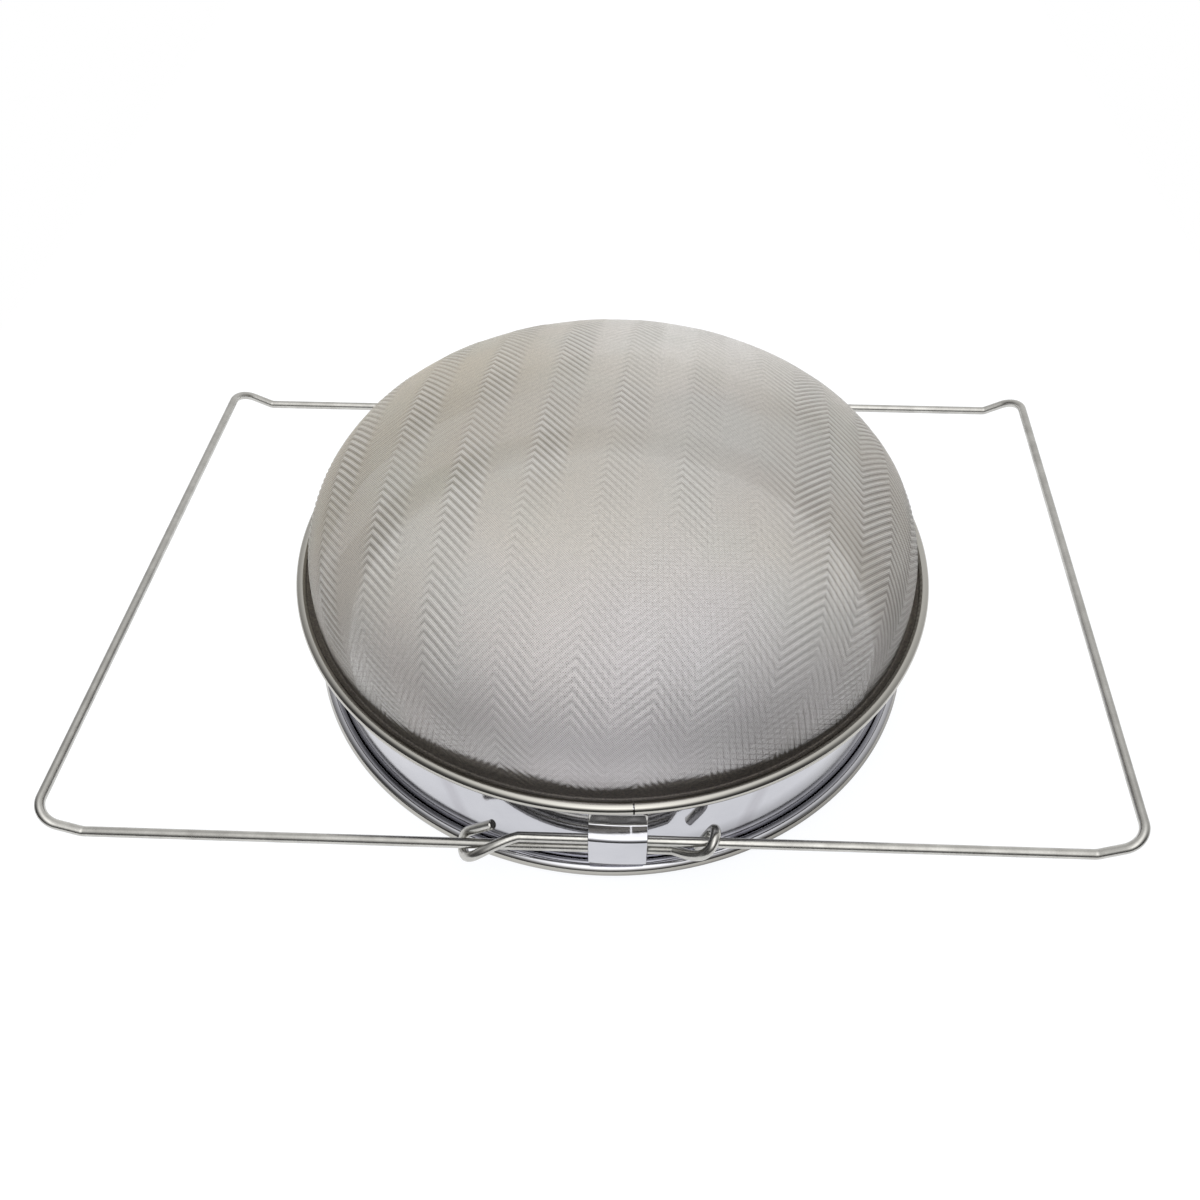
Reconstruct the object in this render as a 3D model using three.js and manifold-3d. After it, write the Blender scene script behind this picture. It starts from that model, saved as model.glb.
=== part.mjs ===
// Double sieve strainer for honey: a fine domed sieve nested over a shallow coarse sieve, with a
// telescoping frame of two bent wires.  Millimetres, +Z up.  The strainer lies mouth down: z = 0 is
// the surface it rests on, and the origin is the centre of the mouth.
import * as THREE from 'three';
import Module from 'manifold-3d';
import { mergeVertices } from 'three/addons/utils/BufferGeometryUtils.js';

// ---------------------------------------------------------------- driving dimensions
const TURN_STEPS = 60; // facets round every turned piece
const TIGHT_BEND_STEP = 45; // degrees per facet in the coarse band's corners
const BEND_STEP = 30; // in the clamps' corners
const SMOOTH_BEND_STEP = 15; // in the wires' bends and the wall's flare
const MERGE_DISTANCE = 1e-4; // vertices closer than this are one
const GAP = 0.3; // air left between pieces that touch

const SHEET = 0.6; // sheet steel of the walls and the ring
const MESH = 0.6; // thickness of the woven screens

// coarse sieve: a flanged hoop that carries a flat screen
const COARSE_FLANGE_R = 115.5;
const COARSE_WALL_R = 110.0; // outer radius of its short wall
const COARSE_HEIGHT = 9.6;
const COARSE_LIP = 3.4; // how far its edge turns inward over the screen
const COARSE_BEND_R = 0.8;
const HOOP_WIDTH = 2.2; // the pressed-in hoop that holds the screen
const HOOP_HEIGHT = 2.2;

// fine sieve: wall with a rolled bead at its mouth and a flare under the crimp ring
const WALL_R = 112.8; // outer radius
const BEAD_ROLL = 2.4; // middle radius of the rolled bead
const BEAD_END = 135; // degrees round the roll, from its outer side, where the sheet ends
const BEAD_STEPS = 8;
const BEAD_CENTRE_Z = SHEET + GAP + BEAD_ROLL + SHEET / 2;
const FLARE_START_Z = 39.5;
const FLARE_TOP_R = 117.6;
const FLARE_TOP_Z = 45.4;
const FLARE_BEND_R = 3;
const RING_CENTRE_R = 117.9;
const RING_CENTRE_Z = 46.2;
const RING_SECTION = 2.1; // outer radius of the ring's C section
const RING_OPEN_FROM = 148; // degrees: the C is open from here
const RING_OPEN_TO = 258; // to here, facing the wall's flare and the screen's edge
const RING_STEPS = 9;
const RING_JOINT_ANGLE = -85.15; // degrees from +X, where the ring's two ends meet
const RING_JOINT_GAP = 0.5;

// fine screen: a dome whose section is a superellipse, with a hem that the ring crimps
const SCREEN_HEM = [
  [117.1, 46.6], // radius and z, from the cut edge inwards
  [115.5, 46.0],
  [114.6, 45.3],
  [113.9, 45.5]
];
const DOME_BASE_R = 113.7;
const DOME_BASE_Z = 46.0;
const DOME_HEIGHT = 55.0;
const DOME_POWER = 2.7;
const DOME_STEPS = 10;
const DOME_SPACING = 0.9; // below 1, the facets are shorter towards the crown

// sliding wire frame
const WIRE_R = 1.75;
const WIRE_SIDES = 8;
const LEG_Y = 116.5; // the legs run parallel to X at this distance on both sides
const LOW_WIRE_Z = 19.75; // the left handle's legs
const HIGH_WIRE_Z = 25.0; // the right handle's legs
const LEFT_BAR_X = -184.8;
const RIGHT_BAR_X = 180.5;
const BAR_SKEW = Math.tan(THREE.MathUtils.degToRad(2.3)); // the end bars lie a little out of square
const BAR_RISE = 7.5; // the end bars stand this much above the legs
const RISE_RUN = 14.5; // length of leg that rises to them
const CORNER_R = 8;
const KINK_R = 4;
const LEG_LENGTH = 208; // from the end bar to the bend of the hook
const HOOK_LOOP = 4.4; // from the middle of the hook's wire to the wire that it holds
const HOOK_CLOSED_BY = 0.25; // share of the hook after which it keeps that distance
const LEFT_HOOK_REACH = 14; // how far the left handle's hooks run along the wires that they hold
const RIGHT_HOOK_REACH = 19.5; // and the right handle's, which were bent longer
const HOOK_TURN = 275; // degrees round that wire
const HOOK_EASE = 1.3; // above 1, the hook turns away from its leg gradually
const HOOK_SWAY = 112; // degrees of the sine that takes the hook out and back along the wire
const HOOK_TAIL = { along: 8.5, behind: 2.6, beyond: 8.2 }; // where the cut end lies
const HOOK_STEPS = 12;

// clamps: hat-shaped straps welded to the wall, with both wires inside
const CLAMP_X = 5.2; // middle of the straps
const CLAMP_WIDTH = 19.5;
const CLAMP_SHEET = 1.0;
const CLAMP_SLOT = { low: 14.0, high: 27.5, out: 118.6 }; // inside faces
const CLAMP_FLANGE = { lower: 6.0, upper: 8.5 }; // heights of the welded flanges
const CLAMP_BEND_R = 1.3;

// ---------------------------------------------------------------- materials
const polished = (name) =>
  new THREE.MeshStandardMaterial({ name, color: 0xd9dce0, roughness: 0.1, metalness: 1 });
const wireSteel = (name) =>
  new THREE.MeshStandardMaterial({ name, color: 0xb9b7af, roughness: 0.28, metalness: 1 });
const woven = (name) =>
  new THREE.MeshStandardMaterial({ name, color: 0xa8a19c, roughness: 0.45, metalness: 0.8 });

// ---------------------------------------------------------------- outlines in a plane
const point = (x, y) => new THREE.Vector2(x, y);

/** Points on an arc about (cx, cy), from one angle to another in degrees. */
function arc(cx, cy, radius, fromDeg, toDeg, steps) {
  return Array.from({ length: steps + 1 }, (_, i) => {
    const angle = THREE.MathUtils.degToRad(fromDeg + ((toDeg - fromDeg) * i) / steps);
    return point(cx + radius * Math.cos(angle), cy + radius * Math.sin(angle));
  });
}

/** Rounds the inner corners of a run of points, in a plane or in space. */
function rounded(corners, radii, stepDeg) {
  const path = [corners[0].clone()];
  for (let i = 1; i < corners.length - 1; i += 1) {
    const before = corners[i].clone().sub(corners[i - 1]).normalize();
    const after = corners[i + 1].clone().sub(corners[i]).normalize();
    const bend = Math.acos(THREE.MathUtils.clamp(before.dot(after), -1, 1));
    const cut = radii[i - 1] * Math.tan(bend / 2);
    const start = corners[i].clone().addScaledVector(before, -cut);
    const inward = after.clone().addScaledVector(before, -Math.cos(bend)).normalize();
    const steps = Math.max(1, Math.ceil(THREE.MathUtils.radToDeg(bend) / stepDeg));
    for (let k = 0; k <= steps; k += 1) {
      const angle = (bend * k) / steps;
      const along = radii[i - 1] * Math.sin(angle);
      const across = radii[i - 1] * (1 - Math.cos(angle));
      path.push(start.clone().addScaledVector(before, along).addScaledVector(inward, across));
    }
  }
  path.push(corners[corners.length - 1].clone());
  return path;
}

/** The closed outline of sheet of one thickness that follows a middle line. */
function sheetOutline(middle, thickness, onAxis = false) {
  const sides = [[], []];
  middle.forEach((here, i) => {
    const before = i > 0 ? here.clone().sub(middle[i - 1]).normalize() : null;
    const after = i < middle.length - 1 ? middle[i + 1].clone().sub(here).normalize() : null;
    const along = (before ?? after).clone().add(after ?? before).normalize();
    const normal = point(-along.y, along.x);
    const stretch = 1 / along.dot(before ?? after);
    sides.forEach((side, k) => {
      const offset = (k === 0 ? 1 : -1) * (thickness / 2) * stretch;
      side.push(here.clone().addScaledVector(normal, offset));
    });
  });
  const outline = [...sides[0], ...sides[1].reverse()];
  if (onAxis) {
    outline[middle.length - 1].x = 0;
    outline[middle.length].x = 0;
  }
  return outline;
}

const signedArea = (outline) =>
  outline.reduce((sum, p, i) => sum + p.cross(outline[(i + 1) % outline.length]) / 2, 0);

/** A closed outline in (radius, z), turned about Z. */
function turned(outline) {
  const profile = signedArea(outline) > 0 ? outline.slice() : outline.slice().reverse();
  profile.push(profile[0].clone());
  return new THREE.LatheGeometry(profile, TURN_STEPS).rotateX(Math.PI / 2);
}

/** An outline that starts and ends on the axis, turned about Z. */
function turnedFromAxis(outline) {
  const profile = signedArea(outline) > 0 ? outline : outline.slice().reverse();
  return new THREE.LatheGeometry(profile, TURN_STEPS).rotateX(Math.PI / 2);
}

// ---------------------------------------------------------------- bent wire
/** A path through given points, with a cross-section at each one. */
class WirePath extends THREE.Curve {
  constructor(points) {
    super();
    this.points = points;
  }

  getPointAt(u, target = new THREE.Vector3()) {
    return target.copy(this.points[Math.round(u * (this.points.length - 1))]);
  }

  getTangentAt(u, target = new THREE.Vector3()) {
    const last = this.points.length - 1;
    const i = Math.round(u * last);
    const here = this.points[i];
    const before = i > 0 ? here.clone().sub(this.points[i - 1]).normalize() : new THREE.Vector3();
    const after = i < last ? this.points[i + 1].clone().sub(here).normalize() : new THREE.Vector3();
    return target.copy(before).add(after).normalize();
  }
}

function wireAlong(points) {
  const section = new THREE.Shape(arc(0, 0, WIRE_R, 0, 360 - 360 / WIRE_SIDES, WIRE_SIDES - 1));
  const extrudePath = new WirePath(points);
  return new THREE.ExtrudeGeometry(section, { steps: points.length - 1, extrudePath });
}

/**
 * The hook at the end of a leg.  It leaves its own leg, passes outside the other handle's leg, turns
 * round it and ends behind it.  away is the X direction from the end bar to the hook, side is the Y
 * side of the sieve, turn is +1 where the hook starts below the wire that it holds, and reach is how
 * far it runs along that wire.
 */
function hookPoints(bendX, away, side, ownZ, heldZ, turn, reach) {
  const legToWire = Math.abs(heldZ - ownZ);
  const points = [];
  for (let i = 0; i <= HOOK_STEPS; i += 1) {
    const share = i / HOOK_STEPS;
    const angle = THREE.MathUtils.degToRad(90 - HOOK_TURN * share ** HOOK_EASE);
    const closing = Math.min(1, share / HOOK_CLOSED_BY);
    const radius = THREE.MathUtils.lerp(legToWire, HOOK_LOOP, closing);
    const along = reach * Math.sin(THREE.MathUtils.degToRad(HOOK_SWAY * share));
    points.push(
      new THREE.Vector3(
        bendX + away * along,
        side * (LEG_Y + radius * Math.cos(angle)),
        heldZ - turn * radius * Math.sin(angle)
      )
    );
  }
  const tailY = side * (LEG_Y - HOOK_TAIL.behind);
  const tailZ = heldZ - turn * HOOK_TAIL.beyond;
  points.push(new THREE.Vector3(bendX + away * HOOK_TAIL.along, tailY, tailZ));
  return points;
}

/** One U of the frame: hook, leg, raised end bar, leg, hook. */
function handle(barX, ownZ, heldZ, reach) {
  const away = -Math.sign(barX);
  const turn = Math.sign(heldZ - ownZ);
  const barZ = ownZ + BAR_RISE;
  const endX = (side) => barX + BAR_SKEW * side * LEG_Y;
  const bendX = barX + away * LEG_LENGTH;
  const at = (x, side, z) => new THREE.Vector3(x, side * LEG_Y, z);
  const frame = rounded(
    [
      at(bendX, -1, ownZ),
      at(endX(-1) + away * RISE_RUN, -1, ownZ),
      at(endX(-1), -1, barZ),
      at(endX(1), 1, barZ),
      at(endX(1) + away * RISE_RUN, 1, ownZ),
      at(bendX, 1, ownZ)
    ],
    [KINK_R, CORNER_R, CORNER_R, KINK_R],
    SMOOTH_BEND_STEP
  );
  const hooks = [-1, 1].map((side) => hookPoints(bendX, away, side, ownZ, heldZ, turn, reach));
  return wireAlong([...hooks[0].reverse().slice(0, -1), ...frame, ...hooks[1].slice(1)]);
}

// ---------------------------------------------------------------- solids for cutting
const wasm = await Module();
wasm.setup();

function toSolid(geometry) {
  const bare = geometry.clone();
  bare.deleteAttribute('normal');
  bare.deleteAttribute('uv');
  const merged = mergeVertices(bare.index ? bare.toNonIndexed() : bare, MERGE_DISTANCE);
  return new wasm.Manifold(
    new wasm.Mesh({
      numProp: 3,
      vertProperties: new Float32Array(merged.attributes.position.array),
      triVerts: new Uint32Array(merged.index.array)
    })
  );
}

function toGeometry(solid) {
  const { vertProperties, triVerts } = solid.getMesh();
  const geometry = new THREE.BufferGeometry();
  geometry.setAttribute('position', new THREE.BufferAttribute(vertProperties, 3));
  geometry.setIndex(new THREE.BufferAttribute(triVerts, 1));
  geometry.computeVertexNormals();
  return geometry;
}

// ---------------------------------------------------------------- coarse sieve
function coarseBand() {
  const wallMiddle = COARSE_WALL_R - SHEET / 2;
  const corners = [
    point(COARSE_FLANGE_R, SHEET / 2),
    point(wallMiddle, SHEET / 2),
    point(wallMiddle, COARSE_HEIGHT - SHEET / 2),
    point(COARSE_WALL_R - COARSE_LIP, COARSE_HEIGHT - SHEET / 2)
  ];
  const middle = rounded(corners, [COARSE_BEND_R, COARSE_BEND_R], TIGHT_BEND_STEP);
  return turned(sheetOutline(middle, SHEET));
}

const coarseScreenTop = COARSE_HEIGHT - SHEET - GAP / 2;
const coarseScreenR = COARSE_WALL_R - SHEET - GAP;

function coarseScreen() {
  const low = coarseScreenTop - MESH;
  return turnedFromAxis([
    point(0, low),
    point(coarseScreenR, low),
    point(coarseScreenR, coarseScreenTop),
    point(0, coarseScreenTop)
  ]);
}

function coarseScreenHoop() {
  const high = coarseScreenTop - MESH - GAP / 2;
  const inner = coarseScreenR - HOOP_WIDTH;
  return turned([
    point(inner, high - HOOP_HEIGHT),
    point(coarseScreenR, high - HOOP_HEIGHT),
    point(coarseScreenR, high),
    point(inner, high)
  ]);
}

// ---------------------------------------------------------------- fine sieve
function fineWall() {
  const middle = WALL_R - SHEET / 2;
  const bead = arc(middle + BEAD_ROLL, BEAD_CENTRE_Z, BEAD_ROLL, BEAD_END, -180, BEAD_STEPS);
  const wallFoot = point(middle, BEAD_CENTRE_Z + BEAD_ROLL / 2);
  const flare = rounded(
    [wallFoot, point(middle, FLARE_START_Z), point(FLARE_TOP_R, FLARE_TOP_Z)],
    [FLARE_BEND_R],
    SMOOTH_BEND_STEP
  );
  return turned(sheetOutline([...bead, ...flare], SHEET));
}

function crimpRing() {
  const middle = RING_SECTION - SHEET / 2;
  const from = RING_OPEN_TO - 360;
  const section = arc(RING_CENTRE_R, RING_CENTRE_Z, middle, from, RING_OPEN_FROM, RING_STEPS);
  const joint = THREE.MathUtils.degToRad(RING_JOINT_ANGLE);
  const cutter = 4 * RING_SECTION;
  const slot = new THREE.BoxGeometry(cutter, RING_JOINT_GAP, cutter)
    .translate(RING_CENTRE_R, 0, RING_CENTRE_Z)
    .rotateZ(joint);
  return toGeometry(toSolid(turned(sheetOutline(section, SHEET))).subtract(toSolid(slot)));
}

function fineScreen() {
  const hem = SCREEN_HEM.map(([r, z]) => point(r, z));
  const dome = Array.from({ length: DOME_STEPS }, (_, i) => {
    const angle = (Math.PI / 2) * ((i + 1 / 2) / DOME_STEPS) ** DOME_SPACING;
    return point(
      DOME_BASE_R * Math.cos(angle) ** (2 / DOME_POWER),
      DOME_BASE_Z + DOME_HEIGHT * Math.sin(angle) ** (2 / DOME_POWER)
    );
  });
  const middle = [...hem, ...dome, point(0, DOME_BASE_Z + DOME_HEIGHT)];
  const outline = sheetOutline(middle, MESH, true);
  const split = middle.length;
  return turnedFromAxis([...outline.slice(split), ...outline.slice(0, split)]);
}

/** A hat-shaped strap; side is -1 for the front and +1 for the back. */
function clamp(side) {
  const half = CLAMP_SHEET / 2;
  const flangeY = WALL_R + GAP + half;
  const low = CLAMP_SLOT.low - half;
  const high = CLAMP_SLOT.high + half;
  const out = CLAMP_SLOT.out + half;
  const corners = [
    point(flangeY, low - CLAMP_FLANGE.lower),
    point(flangeY, low),
    point(out, low),
    point(out, high),
    point(flangeY, high),
    point(flangeY, high + CLAMP_FLANGE.upper)
  ];
  const radii = corners.slice(2).map(() => CLAMP_BEND_R);
  const middle = rounded(corners, radii, BEND_STEP);
  const shape = new THREE.Shape(sheetOutline(middle, CLAMP_SHEET));
  const strap = new THREE.ExtrudeGeometry(shape, { depth: CLAMP_WIDTH, bevelEnabled: false });
  strap.translate(0, 0, -CLAMP_WIDTH / 2);
  const outward = new THREE.Vector3(0, side, 0);
  const upward = new THREE.Vector3(0, 0, 1);
  const across = new THREE.Vector3().crossVectors(outward, upward);
  strap.applyMatrix4(new THREE.Matrix4().makeBasis(outward, upward, across));
  return strap.translate(CLAMP_X, 0, 0);
}

// ---------------------------------------------------------------- assembly
const strainer = new THREE.Group();

function add(parent, name, geometry, material) {
  const mesh = new THREE.Mesh(geometry, material(name));
  mesh.name = name;
  parent.add(mesh);
}

const coarseSieve = new THREE.Group();
add(coarseSieve, 'coarse_band', coarseBand(), polished);
add(coarseSieve, 'coarse_screen', coarseScreen(), woven);
add(coarseSieve, 'coarse_screen_hoop', coarseScreenHoop(), wireSteel);

const fineSieve = new THREE.Group();
add(fineSieve, 'fine_wall', fineWall(), polished);
add(fineSieve, 'fine_screen', fineScreen(), woven);
add(fineSieve, 'crimp_ring', crimpRing(), polished);
add(fineSieve, 'front_clamp', clamp(-1), polished);
add(fineSieve, 'back_clamp', clamp(1), polished);

const leftHandle = handle(LEFT_BAR_X, LOW_WIRE_Z, HIGH_WIRE_Z, LEFT_HOOK_REACH);
const rightHandle = handle(RIGHT_BAR_X, HIGH_WIRE_Z, LOW_WIRE_Z, RIGHT_HOOK_REACH);
add(strainer, 'left_handle', leftHandle, wireSteel);
add(strainer, 'right_handle', rightHandle, wireSteel);
strainer.add(coarseSieve, fineSieve);

export default strainer;
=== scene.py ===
"""Looks of the double sieve strainer: every CAD node is replaced by a finer piece in the same place.

Lengths are named in millimetres, as in the CAD source, and become metres where a mesh is made.
"""
import math

import bpy
import numpy as np
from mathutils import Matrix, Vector


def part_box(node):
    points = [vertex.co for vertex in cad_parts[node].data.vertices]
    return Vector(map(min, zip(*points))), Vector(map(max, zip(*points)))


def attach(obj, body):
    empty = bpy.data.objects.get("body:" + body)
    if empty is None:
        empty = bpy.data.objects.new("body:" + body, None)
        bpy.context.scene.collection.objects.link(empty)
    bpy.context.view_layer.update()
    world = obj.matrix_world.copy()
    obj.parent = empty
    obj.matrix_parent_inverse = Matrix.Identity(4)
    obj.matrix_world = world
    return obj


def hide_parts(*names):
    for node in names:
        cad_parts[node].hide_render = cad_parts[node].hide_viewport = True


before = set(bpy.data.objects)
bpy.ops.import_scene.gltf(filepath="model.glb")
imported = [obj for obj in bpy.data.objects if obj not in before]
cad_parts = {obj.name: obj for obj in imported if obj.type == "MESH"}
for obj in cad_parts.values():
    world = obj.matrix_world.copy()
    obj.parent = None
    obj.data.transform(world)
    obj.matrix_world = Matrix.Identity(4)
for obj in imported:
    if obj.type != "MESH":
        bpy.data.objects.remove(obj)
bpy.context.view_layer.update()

MM = 0.001

# ---------------------------------------------------------------- dimensions, in millimetres
SHEET = 0.6
GAP = 0.3
TURN_STEPS = 288  # facets round a turned piece
SHARP_ANGLE = math.radians(38)


def box_mm(node):
    """Lowest and highest corner of a CAD node, in millimetres."""
    low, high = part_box(node)
    return low / MM, high / MM


wall_low, wall_high = box_mm("fine_wall")
ring_low, ring_high = box_mm("crimp_ring")
_, dome_high = box_mm("fine_screen")
_, band_high = box_mm("coarse_band")
tray_low, tray_high = box_mm("coarse_screen")
hoop_low, hoop_high = box_mm("coarse_screen_hoop")

# fine sieve
BEAD_ROLL = 2.4
WALL_R = wall_high.x - 2 * BEAD_ROLL - SHEET / 2  # middle of the sheet
BEAD_Z = wall_low.z + SHEET / 2 + BEAD_ROLL
BEAD_END = 135
FLARE_START_Z = 39.5
FLARE_TOP = (117.6, 45.4)
FLARE_BEND_R = 3
RING_R = ring_high.x - 2.1
RING_Z = (ring_low.z + ring_high.z) / 2
RING_SECTION = 1.8
RING_OPEN = (-102, 148)
RING_JOINT_ANGLE = -85.15
RING_JOINT_GAP = 0.5

# coarse sieve
COARSE_WALL_R = 110.0
COARSE_BAND_LIP = 3.4
COARSE_HOOP_WIDTH = 2.2
COARSE_HOOP_SOFT = 0.45  # radius of the hoop's edges
COARSE_PITCH = 2.4
COARSE_WIRE_R = 0.205
COARSE_SIDES = 6

# fine screen
DOME_BASE_R = 113.7
DOME_BASE_Z = 46.0
DOME_COVER = 0.3  # half the cloth and its ribs, above the middle of the cloth
DOME_HEIGHT = dome_high.z - DOME_COVER - DOME_BASE_Z
DOME_POWER = 2.7  # 2 would be an ellipse
CLOTH = 0.34  # thickness
CLOTH_TURN = -5.5  # degrees from the object's axes to the cloth's
BAND = 12.85  # width of one herringbone band
RIB_PITCH = 2.38
RIB_HEIGHT = 0.21
RIB_LEAST = 0.04  # share of its height that every rib keeps
RIB_LEAST_BEHIND = 0.12
RIB_UNEVEN = 0.3
RIB_PATCHES = (8.3, 11.9)  # spacing of the patches of ribs near the front, across and along the bands
DRAWN_FROM = (42, -250)  # the cloth was pulled away from here when the dome was formed
FOOT_SHADE_END = 56.5  # the painted shade at the foot of the dome reaches up to here at the ends of the bands
FOOT_SHADE_SIDE = 48.5  # and to here at their sides
FOOT_SHADE_DIP, FOOT_SHADE_DIP_TURN, FOOT_SHADE_DIP_WIDTH = 4.5, 1.6, 0.16  # a short lower stretch near the front
HEM = [(113.9, 45.5), (114.6, 45.3), (115.5, 46.0), (117.1, 46.6)]

# wires
WIRE_R = 1.75
WIRE_SIDES = 20
WIRE_SOFT_END = 0.35
LEG_Y = 116.5
LOW_WIRE_Z = 19.75
HIGH_WIRE_Z = 25.0
LEFT_BAR_X = -184.8
RIGHT_BAR_X = 180.5
BAR_SKEW = math.tan(math.radians(2.3))
BAR_RISE = 7.5
RISE_RUN = 14.5
CORNER_R = 8
KINK_R = 4
LEG_LENGTH = 208
HOOK_LOOP = 4.4
HOOK_CLOSED_BY = 0.25
LEFT_HOOK_REACH = 14
RIGHT_HOOK_REACH = 19.5
HOOK_TURN = 275
HOOK_EASE = 1.3
HOOK_SWAY = 112
HOOK_TAIL = (8.5, 2.6, 8.2)  # along, behind, beyond

# clamps
CLAMP_X = 5.2
CLAMP_WIDTH = 19.5
CLAMP_SHEET = 1.0
CLAMP_SLOT = (14.0, 27.5, 118.6)  # inside faces: low, high, out
CLAMP_FLANGE = (6.0, 8.5)  # lower, upper
CLAMP_SEAT_R = 112.8  # outside of the wall
CLAMP_CORNER_R = 1.4  # rounded corners of the flanges
CLAMP_EDGE = 0.14  # softened long edges
WELD_X, WELD_FROM_END, WELD_R, WELD_DEPTH = 5.2, 4.4, 1.8, 0.13
CLAMP_BEND_R = 1.3
CLAMP_TOP_RISE = 2.0  # the upper side slopes up towards the wall
CLAMP_TOP_BEND_R = 2.0


# ---------------------------------------------------------------- node trees
def node(tree, kind, inputs=None, **settings):
    """A new node of this kind; inputs are values or sockets to link from."""
    made = tree.nodes.new(kind)
    for key, value in settings.items():
        setattr(made, key, value)
    for key, value in (inputs or {}).items():
        if isinstance(value, bpy.types.NodeSocket):
            tree.links.new(value, made.inputs[key])
        else:
            made.inputs[key].default_value = value
    return made


def maths(tree, operation, *values):
    return node(tree, "ShaderNodeMath", dict(enumerate(values)), operation=operation).outputs[0]


def mixed(tree, factor, first, second):
    """Colour between first and second."""
    mix = node(tree, "ShaderNodeMix", data_type="RGBA")
    for socket, value in zip((mix.inputs[0], mix.inputs[6], mix.inputs[7]), (factor, first, second)):
        if isinstance(value, bpy.types.NodeSocket):
            tree.links.new(value, socket)
        else:
            socket.default_value = value
    return mix.outputs[2]


def spread(tree, value, low, high, to_low=0.0, to_high=1.0):
    """value from low..high to to_low..to_high, held at the ends."""
    inputs = {"Value": value, 1: low, 2: high, 3: to_low, 4: to_high}
    return node(tree, "ShaderNodeMapRange", inputs, clamp=True).outputs[0]


def noise(tree, vector, scale, detail, roughness):
    inputs = {"Vector": vector, "Scale": scale, "Detail": detail, "Roughness": roughness}
    return node(tree, "ShaderNodeTexNoise", inputs).outputs["Fac"]


def material(name):
    """A new material, its tree and its Principled node."""
    made = bpy.data.materials.new(name)
    made.use_nodes = True
    tree = made.node_tree
    return made, tree, tree.nodes["Principled BSDF"]


def grey(value):
    return (value, value, value, 1.0)


def object_point(tree):
    return node(tree, "ShaderNodeTexCoord").outputs["Object"]


def attribute(tree, name, output="Fac"):
    """What a mesh attribute of this name holds."""
    return node(tree, "ShaderNodeAttribute", attribute_name=name).outputs[output]


def times(tree, first, second):
    return maths(tree, "MULTIPLY", first, second)


def plus(tree, first, second):
    return maths(tree, "ADD", first, second)


def one_minus(tree, value):
    return maths(tree, "SUBTRACT", 1.0, value)


def from_axis(tree, x, y):
    """Distance from the object's axis."""
    return maths(tree, "SQRT", plus(tree, times(tree, x, x), times(tree, y, y)))


SHEET_TONES = (0.55, 0.55, 0.585, 1), (0.6, 0.6, 0.63, 1)
WARM_SHEET_TONE = (0.49, 0.475, 0.435, 1)  # the ring, the bead and the clamps' flanges
# dark tone for the bead, which grows towards the right as painted shade, and painted shade under the ring
TARNISH_AND_SHADE_TONE = (0.13, 0.115, 0.095, 1)
REFLECTED_STREAK_TONE = (0.33, 0.31, 0.34, 1)
REFLECTED_STREAK_ANGLE = 0.41  # from the front, at the mouth
REFLECTED_STREAK_SLANT = 2.4  # how far the angle grows with each metre of height
WIRE_TONES = (0.56, 0.55, 0.52, 1), (0.42, 0.41, 0.385, 1)
COARSE_TONES = (0.56, 0.57, 0.62, 1), (0.42, 0.43, 0.46, 1)


def polished_steel():
    """Mirror polished sheet: fine polish lines, dull smears, a painted reflection of a dark streak to each
    side of the front, and painted shade on the bead and under the ring.
    """
    made, tree, shader = material("polished_steel")
    place = object_point(tree)
    x, y, z = node(tree, "ShaderNodeSeparateXYZ", {0: place}).outputs
    radius = from_axis(tree, x, y)
    turn = maths(tree, "ARCTAN2", y, x)
    rolled = node(tree, "ShaderNodeCombineXYZ", {0: times(tree, turn, 0.02), 1: z, 2: radius}).outputs[0]
    lines = noise(tree, rolled, 2600.0, 4.0, 0.6)
    smears = noise(tree, place, 55.0, 3.0, 0.55)
    tone = mixed(tree, spread(tree, smears, 0.35, 0.7), *SHEET_TONES)
    # painted reflection: a dark streak on the wall to each side of the front
    from_front = maths(tree, "ABSOLUTE", plus(tree, turn, math.pi / 2))
    slanted = maths(tree, "SUBTRACT", from_front, times(tree, z, REFLECTED_STREAK_SLANT))
    from_reflected_streak = maths(tree, "ABSOLUTE", maths(tree, "SUBTRACT", slanted, REFLECTED_STREAK_ANGLE))
    reflected_streak = spread(tree, from_reflected_streak, 0.01, 0.035, 0.35, 0.0)
    on_wall = spread(tree, radius, 0.113, 0.1135, 1.0, 0.0)
    tone = mixed(tree, times(tree, reflected_streak, on_wall), tone, REFLECTED_STREAK_TONE)
    tone = mixed(tree, attribute(tree, "warm"), tone, WARM_SHEET_TONE)
    # painted shade under the ring and towards the right on the bead, with a little darkening all round the
    # bead
    tone = mixed(tree, attribute(tree, "tarnish_and_painted_shade"), tone, TARNISH_AND_SHADE_TONE)
    tone = mixed(tree, spread(tree, lines, 0.3, 0.8, 0.0, 0.12), tone, grey(0.45))
    tree.links.new(tone, shader.inputs["Base Color"])
    dull = plus(tree, spread(tree, smears, 0.4, 0.8, 0.05, 0.12), spread(tree, lines, 0.4, 0.8, 0.0, 0.05))
    tree.links.new(dull, shader.inputs["Roughness"])
    bump = node(tree, "ShaderNodeBump", {"Height": lines, "Strength": 0.03, "Distance": 0.00005})
    tree.links.new(bump.outputs[0], shader.inputs["Normal"])
    shader.inputs["Metallic"].default_value = 1.0
    return made


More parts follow.
